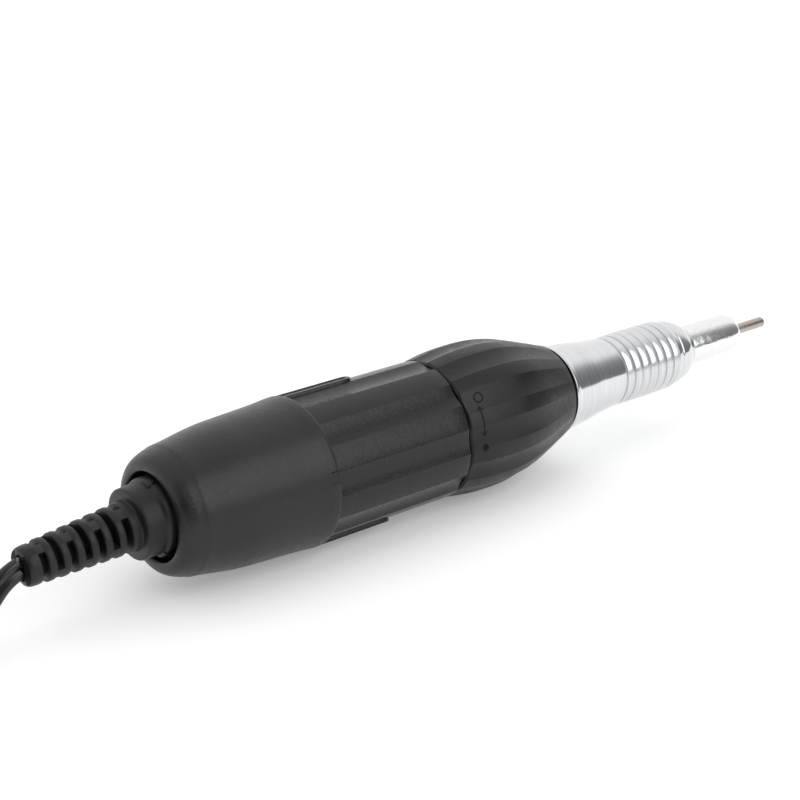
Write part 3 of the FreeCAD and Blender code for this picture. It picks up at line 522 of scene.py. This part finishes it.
def make_cover():
    outer = curve([(0.6, 9.3), (0.95, 10.3), (1.7, 11.05), (3.0, 11.65), (4.2, 12.0), (5.0, 12.26)],
                  5)[:-1]
    outer += curve([(5.0, 12.26), (7.8, 12.62), (11.5, 13.22), (15.1, 13.68), (19, 13.92),
                    (23.5, 14.12), (27.8, 14.35), (30.6, 14.6)], 5)
    outer += [(30.65, 14.6), (31.4, 14.65), (32.1, 14.66), (32.4, 14.55)]
    inner = [(32.4, 14.1), (31.1, 14.1), (31.1, 12.86), (18.1, 12.86), (12.1, 11.8), (3.1, 9.6),
             (3.1, 8.3), (1.1, 8.3), (0.62, 8.6)]

    def relief(x, r, angle):
        """A small locating notch in the front edge."""
        on_edge = x > NOTCH_REAR and r > NOTCH_FLOOR + 0.06
        return NOTCH_FLOOR if on_edge and abs(angle - NOTCH_ANGLE) < NOTCH_HALF else r

    piece = lathe("rear_cover_shell", rear("rear_cover"), softened(outer + inner, 0.2),
                  "cover_black", 240, 0.7, relief=relief)
    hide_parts("rear_cover")


# ---------------------------------------------------------------- motor housing
FLUTE_COUNT = 9
FLUTE_WIDTH = math.radians(20)
FLUTE_PHASE = math.radians(7)
FLUTE_DEPTH = 0.5


def flute_cut(angle, count, width, phase, depth):
    """How deep a concave flute is at an angle: nothing on the lands between flutes."""
    pitch = 2 * math.pi / count
    away = abs((angle - phase + pitch / 2) % pitch - pitch / 2)
    across = away / (width / 2)
    return depth * (1 - across ** 2) if across < 1 else 0.0


def make_housing():
    x_step = 8.8
    x_front = 42.2
    radius = 13.95
    outline = [(0, 11.5), (0, 12.6), (3.5, 12.6), (3.5, 12.0), (5.1, 12.0), (5.1, 12.6),
               (x_step, 12.6), (x_step, radius)]
    row_length = (x_front - x_step - 1.6) / 10
    outline += [(x_step + 1.2 + row_length * row, radius) for row in range(11)]
    outline += [(x_front - 0.15, radius - 0.04), (x_front, radius - 0.22),
                (x_front, 9.3), (x_front - 2, 9.3), (x_front - 2, 11.5)]

    def relief(x, r, angle):
        """Flutes in the outside, and none inside or under the rear cover."""
        inside = r < radius - FLUTE_DEPTH
        return r if inside else r - flute_cut(angle, FLUTE_COUNT, FLUTE_WIDTH, FLUTE_PHASE, FLUTE_DEPTH)

    piece = lathe("motor_housing_shell", rear("motor_housing"), outline, "housing_black", 360, 0.22,
                  relief=relief, start=math.radians(-3))
    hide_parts("motor_housing")


def make_grip_rib(name, centre_angle, x_round):
    """A raised rib like a long loop: two ridges that meet in a round front end."""
    radius = 13.6
    half = 1.15
    thick = 0.45
    rise = 1.02
    x_rear = 8.9
    path = [(x_rear, -half), (x_rear + 6, -half), (x_round - 2, -half)]
    for step in range(9):
        turn = -math.pi / 2 + math.pi * step / 8
        path.append((x_round + half * math.cos(turn), half * math.sin(turn)))
    path += [(x_round - 2, half), (x_rear + 6, half), (x_rear, half)]
    section = [(thick, 0.0), (thick, rise * 0.7), (thick * 0.55, rise), (-thick * 0.55, rise),
               (-thick, rise * 0.7), (-thick, 0.0)]
    vertices = []
    for index, (x, across) in enumerate(path):
        before = path[max(index - 1, 0)]
        after = path[min(index + 1, len(path) - 1)]
        along = Vector((after[0] - before[0], after[1] - before[1])).normalized()
        side = Vector((-along.y, along.x))
        for offset, height in section:
            angle = centre_angle + (across + side.y * offset) / radius
            vertices.append(around(rear("motor_housing") + (x + side.x * offset) * MM,
                                   radius + height, angle))
    faces = strip_faces(len(path), len(section))
    mesh_piece(name, vertices, faces, "housing_black", 0.9)


# ---------------------------------------------------------------- twist ring
RING_FLUTES = 12
RING_FLUTE_WIDTH = math.radians(18)
RING_PHASE = math.radians(8)
RING_DEPTH = 0.42
RING_BORE = 10.3
RING_BORE_END = 22
RING_TIP = 10.0
RING_WIDEST = 14.9
RING_OUTER = curve([(0.35, 14.0), (3.0, 14.4), (6.0, 14.75), (9.5, 14.9), (13, 14.89), (16, 14.65),
                    (19, 14.15), (22, 13.4), (25, 12.45), (28, 11.45), (30.5, 10.6), (32.0, 10.05)], 4)


def ring_radius(x):
    """The ring's outer radius on a land."""
    for (start, low), (end, high) in zip(RING_OUTER, RING_OUTER[1:]):
        if start <= x <= end:
            return low + (high - low) * (x - start) / (end - start)
    return RING_OUTER[0][1]


def ring_relief(x, r, angle):
    """The flutes get shallower where the ring gets narrower, and stop at its tip."""
    in_bore = r < RING_BORE + 0.1 and x < RING_BORE_END + 1
    if in_bore or r <= RING_TIP:
        return r
    depth = RING_DEPTH * (0.25 + 0.75 * (r - RING_TIP) / (RING_WIDEST - RING_TIP))
    return r - flute_cut(angle, RING_FLUTES, RING_FLUTE_WIDTH, RING_PHASE, depth)


def make_ring():
    outline = [(0, 13.5)] + RING_OUTER
    outline += [(32.1, 9.9), (32.1, 9.1), (RING_BORE_END, 9.1), (RING_BORE_END, RING_BORE),
                (0, RING_BORE)]
    piece = lathe("twist_ring_shell", rear("twist_ring"), outline, "ring_black", 360, 0.22,
                  body="twist_ring", relief=ring_relief, start=math.radians(-1))
    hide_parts("twist_ring")
    edge = [(32.0, 9.7), (32.1, 9.84), (32.3, 9.8), (32.56, 9.5), (32.6, 9.35), (32.5, 9.12),
            (32.0, 9.12)]
    lathe("twist_ring_edge", rear("twist_ring"), edge, "ring_black", 180, 0.5, body="twist_ring",
          material=GLOSS)


# ---------------------------------------------------------------- nose cone, cap and shank
GROOVE_FIRST = 26.6
GROOVE_PITCH = 2.4
GROOVE_COUNT = 7
BORE_RADIUS = 7.0
RIDGE_RADIUS = 7.34


def axis_distance(point):
    """How far a point is from the handpiece's axis, in mm."""
    return math.hypot(point.y, point.z - AXIS_Z) / MM


def make_nose():
    outline = [(0, 7.4), (0, 8.7), (9.95, 8.7), (9.95, 9.45), (10.1, 9.6), (10.35, 9.6), (11.1, 9.34)]
    outline += curve([(11.3, 9.3), (14, 8.98), (17, 8.65), (19.8, 8.22), (23, 7.82), (26.4, 7.52)], 5)
    for index in range(GROOVE_COUNT):
        x = GROOVE_FIRST + index * GROOVE_PITCH
        land = 7.5 + 0.08 * math.sin(math.pi * index / (GROOVE_COUNT - 1))
        outline += [(x, land - 0.3), (x + 0.42, land - 0.32), (x + 0.6, land - 0.12),
                    (x + 1.2, land - 0.05), (x + 1.8, land + 0.02), (x + 1.95, land + 0.02),
                    (x + 2.05, land - 0.08), (x + 2.15, land - 0.08), (x + 2.25, land + 0.02)]
    end = GROOVE_FIRST + GROOVE_COUNT * GROOVE_PITCH
    outline += [(end + 0.4, 7.42), (44.5, 7.28), (44.7, 7.12), (44.95, 7.12), (45.1, 7.2)]
    outline += curve([(45.9, 7.08), (47.0, 6.92), (48.4, 6.45), (49.5, 5.8), (50.2, 5.2)], 4)
    outline += [(50.9, 4.85), (51.1, 4.75), (51.1, 4.52), (46.3, 4.52), (46.3, 5.52), (10, 5.52),
                (10, 7.4)]
    piece = lathe("nose_cone_shell", rear("nose_cone"), softened(outline, 0.06), "nose_silver", 180,
                  0.5)
    piece.data.materials.append(GROOVE_SHADE)
    piece.data.materials.append(RIDGE)
    first = rear("nose_cone") + (GROOVE_FIRST - 0.1) * MM
    last = first + (GROOVE_COUNT * GROOVE_PITCH + 0.2) * MM
    # Painted shade: groove floors get the darker groove metal; the lands between get the rougher ridge
    # metal.
    for face in piece.data.polygons:
        radius = axis_distance(face.center)
        if first < face.center.x < last and radius > BORE_RADIUS:
            face.material_index = 1 if radius < RIDGE_RADIUS else 2
    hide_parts("nose_cone")


def make_cap():
    outline = [(0, 3.4), (0, 4.48), (18.4, 4.46)]
    outline += curve([(18.6, 4.45), (19.8, 4.32), (20.8, 3.92), (21.45, 3.35), (21.8, 2.7)], 5)
    outline += [(21.9, 2.4), (21.9, 1.75), (21.75, 1.6), (18.8, 1.6), (18.8, 3.4)]
    piece = lathe("front_cap_shell", rear("front_cap"), softened(outline, 0.1), "cap_silver", 120, 0.5)
    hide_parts("front_cap")


def make_shank():
    outline = [(0, 0), (0, 1.0), (0.2, 1.175), (25.2, 1.175), (25.25, 1.0), (26.4, 1.0),
               (26.45, 1.175), (36.7, 1.175), (36.95, 1.12), (37.12, 0.95), (37.2, 0.65), (37.2, 0)]
    piece = lathe("burr_shank_pin", rear("burr_shank"), outline, "shank_steel", 64, 0.5, body="burr")
    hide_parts("burr_shank")


# ---------------------------------------------------------------- boot
BOOT_DROOP = math.radians(4.0)
BOOT_LIFT = 0.2 * MM
BOOT_REAR = COVER_HOLE_X - 27 * MM
BOOT_GAPS = 7
FIRST_GAP = 2.6
GAP_WIDTH = 1.3
GAP_FLOOR = 2.4
RIB_PITCH = 2.7
COLLAR_REAR = 22.0
MOUTH_RADIUS = 3.1
MOUTH_DEPTH = 2.2
# Faces nearer the axis than this, inside the cord's mouth and bore, are painted in shade.
PAINTED_SHADE_RADIUS = 2.8
WEB_CENTRES = (math.radians(61), math.radians(-29))
WEB_HALF = math.radians(15)


def droop(piece):
    """Turns a boot piece about the cover's hole, so that the cord's end hangs lower."""
    hole = Vector((COVER_HOLE_X, 0, AXIS_Z))
    raised = hole + Vector((0, 0, BOOT_LIFT))
    turn = (Matrix.Translation(raised) @ Matrix.Rotation(-BOOT_DROOP, 4, "Y")
            @ Matrix.Translation(-hole))
    piece.data.transform(turn)


def near_angle(angle, centre):
    """How far an angle is from a centre, the short way round."""
    return abs((angle - centre + math.pi) % (2 * math.pi) - math.pi)


def rib_radius(x):
    """The ribs' outer radius, tapering towards the cord's end."""
    return 3.66 + 1.1 * x / COLLAR_REAR


def boot_relief(x, r, angle):
    """Webs that bridge each gap at two opposite places, and the oval mouth of the cord's end."""
    for index in range(BOOT_GAPS):
        x_gap = FIRST_GAP + RIB_PITCH * index
        if x_gap - 0.4 <= x <= x_gap + GAP_WIDTH + 0.1 and r > GAP_FLOOR - 0.05:
            centre = WEB_CENTRES[index % 2]
            away = min(near_angle(angle, centre), near_angle(angle, centre + math.pi))
            return max(r, rib_radius(x) - 0.04) if away < WEB_HALF else r
    if r < MOUTH_RADIUS and x < MOUTH_DEPTH:
        upright = r - 0.4
        across = r - 1.4
        return upright * across / math.hypot(upright * math.cos(angle), across * math.sin(angle))
    return r


def make_boot():
    outline = [(0.25, 2.85), (0.3, 3.05), (0.42, 3.3), (0.7, 3.52), (1.1, 3.62), (2.1, 3.7),
               (2.45, 3.62)]
    for index in range(BOOT_GAPS):
        rear_side = FIRST_GAP + RIB_PITCH * index
        front_side = rear_side + GAP_WIDTH
        edge = rib_radius(rear_side)
        outline += [(rear_side, edge - 0.12), (rear_side, GAP_FLOOR), (front_side, GAP_FLOOR),
                    (front_side, edge - 0.12), (front_side + 0.06, edge + 0.02),
                    (front_side + 0.22, edge + 0.11), (front_side + 1.1, edge + 0.12),
                    (front_side + 1.3, edge + 0.04)]
    outline = outline[:-1]
    outline += [(COLLAR_REAR - 0.15, 4.74), (COLLAR_REAR, 4.86), (COLLAR_REAR, 6.42),
                (COLLAR_REAR + 0.08, 6.6), (COLLAR_REAR + 0.24, 6.7), (COLLAR_REAR + 1.2, 6.72),
                (25.4, 6.8), (25.7, 6.88), (25.95, 7.15), (26.3, 7.3), (29.9, 7.4), (29.9, 8.6),
                (31.5, 8.6), (31.5, 2.32), (3.0, 2.32), (3.0, 2.6)]
    piece = lathe("strain_boot", BOOT_REAR, outline, "boot_black", 144, 0.75, relief=boot_relief)
    piece.data.materials.append(PRINT_AND_SHADE)
    # Painted shade: the faces inside the cord's mouth and bore get the darker, duller black.
    for face in piece.data.polygons:
        if axis_distance(face.center) < PAINTED_SHADE_RADIUS:
            face.material_index = 1
    droop(piece)
    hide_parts("strain_relief_boot")
    for name, centre in (("boot_lug_upper", 84), ("boot_lug_lower", -58)):
        make_lug(name, math.radians(centre))


def make_lug(name, centre):
    """A small raised lug on the boot's collar, in the gap of the cover's hole."""
    stations = [(25.5, 0.2), (25.65, 0.82), (26.0, 1.02), (27.2, 1.02), (27.4, 0.82), (27.4, 0.2)]
    base = 6.5
    steps = 8
    vertices = []
    for step in range(steps + 1):
        angle = centre + math.radians(11) * (2 * step / steps - 1)
        share = 1.0 if 0 < step < steps else 0.8
        for x, rise in stations:
            vertices.append(around(BOOT_REAR + x * MM, base + rise * share, angle))
    faces = strip_faces(steps + 1, len(stations))
    droop(mesh_piece(name, vertices, faces, "boot_black", 0.7))


def make_core():
    """The cord inside the boot, straight along the boot's axis."""
    low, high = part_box("cord_core")
    start = Vector(CORD_EXIT) + Vector((0.0002, 0, 0))
    along = Vector((math.cos(BOOT_DROOP), 0, math.sin(BOOT_DROOP)))
    line = [start + along * (high.x - low.x - 0.0006) * step / 8 for step in range(9)]
    core = twin_tube("twin_cord_core", line)
    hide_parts("cord_core")


# ---------------------------------------------------------------- marks on the ring
MARK_RADIUS = 14.3
MARK_SECTION = ((1, -0.15), (1, 0.03), (-1, 0.03), (-1, -0.15))


def ring_point(x, angle, lift):
    """A place on the twist ring's fluted surface, lifted off it by a little."""
    radius = ring_relief(x, ring_radius(x), angle) + lift
    return around(rear("twist_ring") + x * MM, radius, angle)


def ring_mark(name, line, half_width, closed=False):
    """A thin dark line inlaid in the ring's surface along (station, arc length) points."""
    count = len(line)
    vertices = []
    for index, place in enumerate(line):
        before = Vector(line[index - 1] if closed or index else place)
        after = Vector(line[(index + 1) % count] if closed or index < count - 1 else place)
        along = (after - before).normalized()
        side = Vector((-along.y, along.x)) * half_width
        for across, lift in MARK_SECTION:
            x, arc = Vector(place) + side * across
            vertices.append(ring_point(x, arc / MARK_RADIUS, lift))
    faces = strip_faces(count, len(MARK_SECTION), closed)
    mesh_piece(name, vertices, faces, "ring_black", 0.6, body="twist_ring", material=PRINT_AND_SHADE)


def circle_line(x, arc, radius, steps=28):
    return [(x + radius * math.cos(2 * math.pi * step / steps),
             arc + radius * math.sin(2 * math.pi * step / steps)) for step in range(steps)]


def make_marks():
    """An open circle, a double arrow and a dot, where the ring shows which way it turns."""
    ring_mark("mark_open", circle_line(3.9, 9.8, 0.95), 0.13, closed=True)
    ring_mark("mark_arrow", [(3.1, 2.2 + 5.8 * step / 20) for step in range(21)], 0.12)
    ring_mark("mark_arrow_up", [(2.5, 7.2), (3.1, 8.1), (3.7, 7.2)], 0.11)
    ring_mark("mark_arrow_down", [(2.5, 3.0), (3.1, 2.1), (3.7, 3.0)], 0.11)
    ring_mark("mark_dot", circle_line(3.0, -0.2, 0.36), 0.34, closed=True)


# ---------------------------------------------------------------- plug and tie
def make_plug():
    low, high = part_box("plug_body")
    height = (low.z + high.z) / 2
    outline = [(0, 0), (0, 3.4), (0.25, 4.0), (0.9, 4.4)]
    for index in range(7):
        x = 2.2 + index * 2.2
        outline += [(x, 4.72), (x + 0.35, 4.86), (x + 1.1, 4.86), (x + 1.45, 4.72), (x + 1.65, 4.42),
                    (x + 1.95, 4.42)]
    outline += [(17.8, 4.75), (18.4, 4.8), (19.4, 4.5), (20.0, 3.9)]
    for index in range(4):
        x = 20.0 + index * 2.1
        edge = 2.95 - 0.12 * index
        outline += [(x, edge - 0.55), (x + 0.7, edge - 0.6), (x + 0.8, edge), (x + 1.9, edge - 0.05)]
    outline += [(28.6, 2.45), (29.0, 2.3), (29.0, 0)]
    piece = lathe("plug_grip", low.x, outline, "cord_black", 96, 0.6, height=height)
    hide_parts("plug_body")
    outline = [(0, 1.9), (0.15, 2.5), (0.5, 2.72), (3.0, 2.75), (9.5, 2.75), (9.5, 1.7), (0.2, 1.7)]
    piece = lathe("plug_sleeve", rear("plug_barrel"), outline, "plug_nickel", 72, 0.5, height=height)
    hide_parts("plug_barrel")


def make_tie():
    """A hook-and-loop strap round the hank, with its end lapped over."""
    low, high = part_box("cord_tie")
    half = (high.y - low.y) / 2
    bend = 3.0 * MM
    thick = 0.85 * MM
    side = half - bend
    bottom = low.z + bend
    top = high.z - bend - thick
    turns = []
    for y, z, first in ((side, top, 0), (-side, top, 90), (-side, bottom, 180), (side, bottom, 270)):
        for step in range(7):
            turn = math.radians(first + 15 * step)
            turns.append((y, z, math.cos(turn), math.sin(turn)))
    edge = 0.3 * MM
    chamfer = thick * 0.35
    section = [(high.x, chamfer), (high.x - edge, 0), (low.x + edge, 0), (low.x, chamfer)]
    section += [(x, thick - inset * 0.6) for x, inset in reversed(section)]
    vertices = [(x, y + across * (bend - inset), z + up * (bend - inset))
                for y, z, across, up in turns for x, inset in section]
    faces = strip_faces(len(turns), len(section), closed=True)
    strap = mesh_piece("tie_strap", vertices, faces, "tie_black", 0.7)
    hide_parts("cord_tie")
    make_tie_end(low.x + 0.4 * MM, high.x - 0.4 * MM, high.z - thick)


def make_tie_end(x_low, x_high, z):
    """The strap's end, lapped over its top and a little thinner at its tip."""
    steps = 10
    vertices = []
    for step in range(steps + 1):
        y = (-4 + 12 * step / steps) * MM
        thick = (0.8 if step < steps else 0.4) * MM
        vertices += [(x_low, y, z), (x_low, y, z + thick), (x_high, y, z + thick), (x_high, y, z)]
    mesh_piece("tie_end", vertices, strip_faces(steps + 1, 4), "tie_black", 0.7)


def make_spring():
    """A copy of the CAD collet spring, its placement baked into the mesh."""
    node = frame["nodes"]["collet_spring"]
    mesh = node.data.copy()
    mesh.transform(node.matrix_world)
    spring = bpy.data.objects.new("collet_coil", mesh)
    bpy.context.collection.objects.link(spring)
    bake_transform(spring)
    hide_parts("collet_spring")


make_cord()
make_spring()
make_cover()
make_housing()
make_grip_rib("grip_rib_upper", math.radians(104), 24.4)
make_grip_rib("grip_rib_lower", math.radians(-62), 25.4)
make_ring()
make_nose()
make_cap()
make_shank()
make_boot()
make_core()
make_marks()
make_plug()
make_tie()


# ---------------------------------------------------------------- floor and light
def make_floor():
    bpy.ops.mesh.primitive_plane_add(size=14, location=(0, 0, 0))
    floor = bpy.context.object
    floor.name = "floor"
    white = new_material("floor_white", (0.93, 0.93, 0.93), 0.9, specular=0.1)
    shader = shader_of(white)
    shader.inputs["Emission Color"].default_value = (1, 1, 1, 1)
    shader.inputs["Emission Strength"].default_value = 0.22
    floor.data.materials.append(white)


def make_softbox():
    """A square softbox that faces the handpiece from the viewer's side."""
    data = bpy.data.lights.new("softbox", "AREA")
    data.energy = 7.5
    data.size = 1.15
    light = bpy.data.objects.new("softbox", data)
    bpy.context.collection.objects.link(light)
    light.location = (0.3, -0.95, 0.67)
    light.rotation_euler = light.location.to_track_quat("Z", "Y").to_euler()


# How bright the room is at angles over the handpiece, from the viewer's side (0) to the far side (1).
ROOM = [(0.0, 0.04), (0.014, 0.1), (0.03, 0.2), (0.13, 0.2), (0.23, 0.25),
        (0.3, 0.33), (0.36, 0.5), (0.43, 0.83), (0.5, 0.98), (0.56, 1.0), (1.0, 1.0)]
ROOM_STRENGTH = 1.06


def make_world():
    """A white room that is darker just above the floor on the viewer's side."""
    world = bpy.data.worlds.new("studio")
    bpy.context.scene.world = world
    world.use_nodes = True
    place = add(world, "ShaderNodeTexCoord")
    parts = add(world, "ShaderNodeSeparateXYZ")
    near = add(world, "ShaderNodeMath", operation="MULTIPLY")
    near.inputs[1].default_value = -1
    over = add(world, "ShaderNodeMath", operation="ARCTAN2")
    share = add(world, "ShaderNodeMath", operation="DIVIDE")
    share.inputs[1].default_value = math.pi
    ramp = add(world, "ShaderNodeValToRGB")
    while len(ramp.color_ramp.elements) < len(ROOM):
        ramp.color_ramp.elements.new(0.5)
    for element, (position, level) in zip(ramp.color_ramp.elements, ROOM):
        element.position = position
        element.color = (level, level, level, 1)
    background = world.node_tree.nodes["Background"]
    background.inputs["Strength"].default_value = ROOM_STRENGTH
    join(world, place.outputs["Generated"], parts.inputs[0])
    join(world, parts.outputs["Y"], near.inputs[0])
    join(world, parts.outputs["Z"], over.inputs[0])
    join(world, near.outputs[0], over.inputs[1])
    join(world, over.outputs[0], share.inputs[0])
    join(world, share.outputs[0], ramp.inputs[0])
    join(world, ramp.outputs["Color"], background.inputs["Color"])


make_floor()
make_world()
make_softbox()
bpy.context.scene.view_settings.view_transform = "Standard"
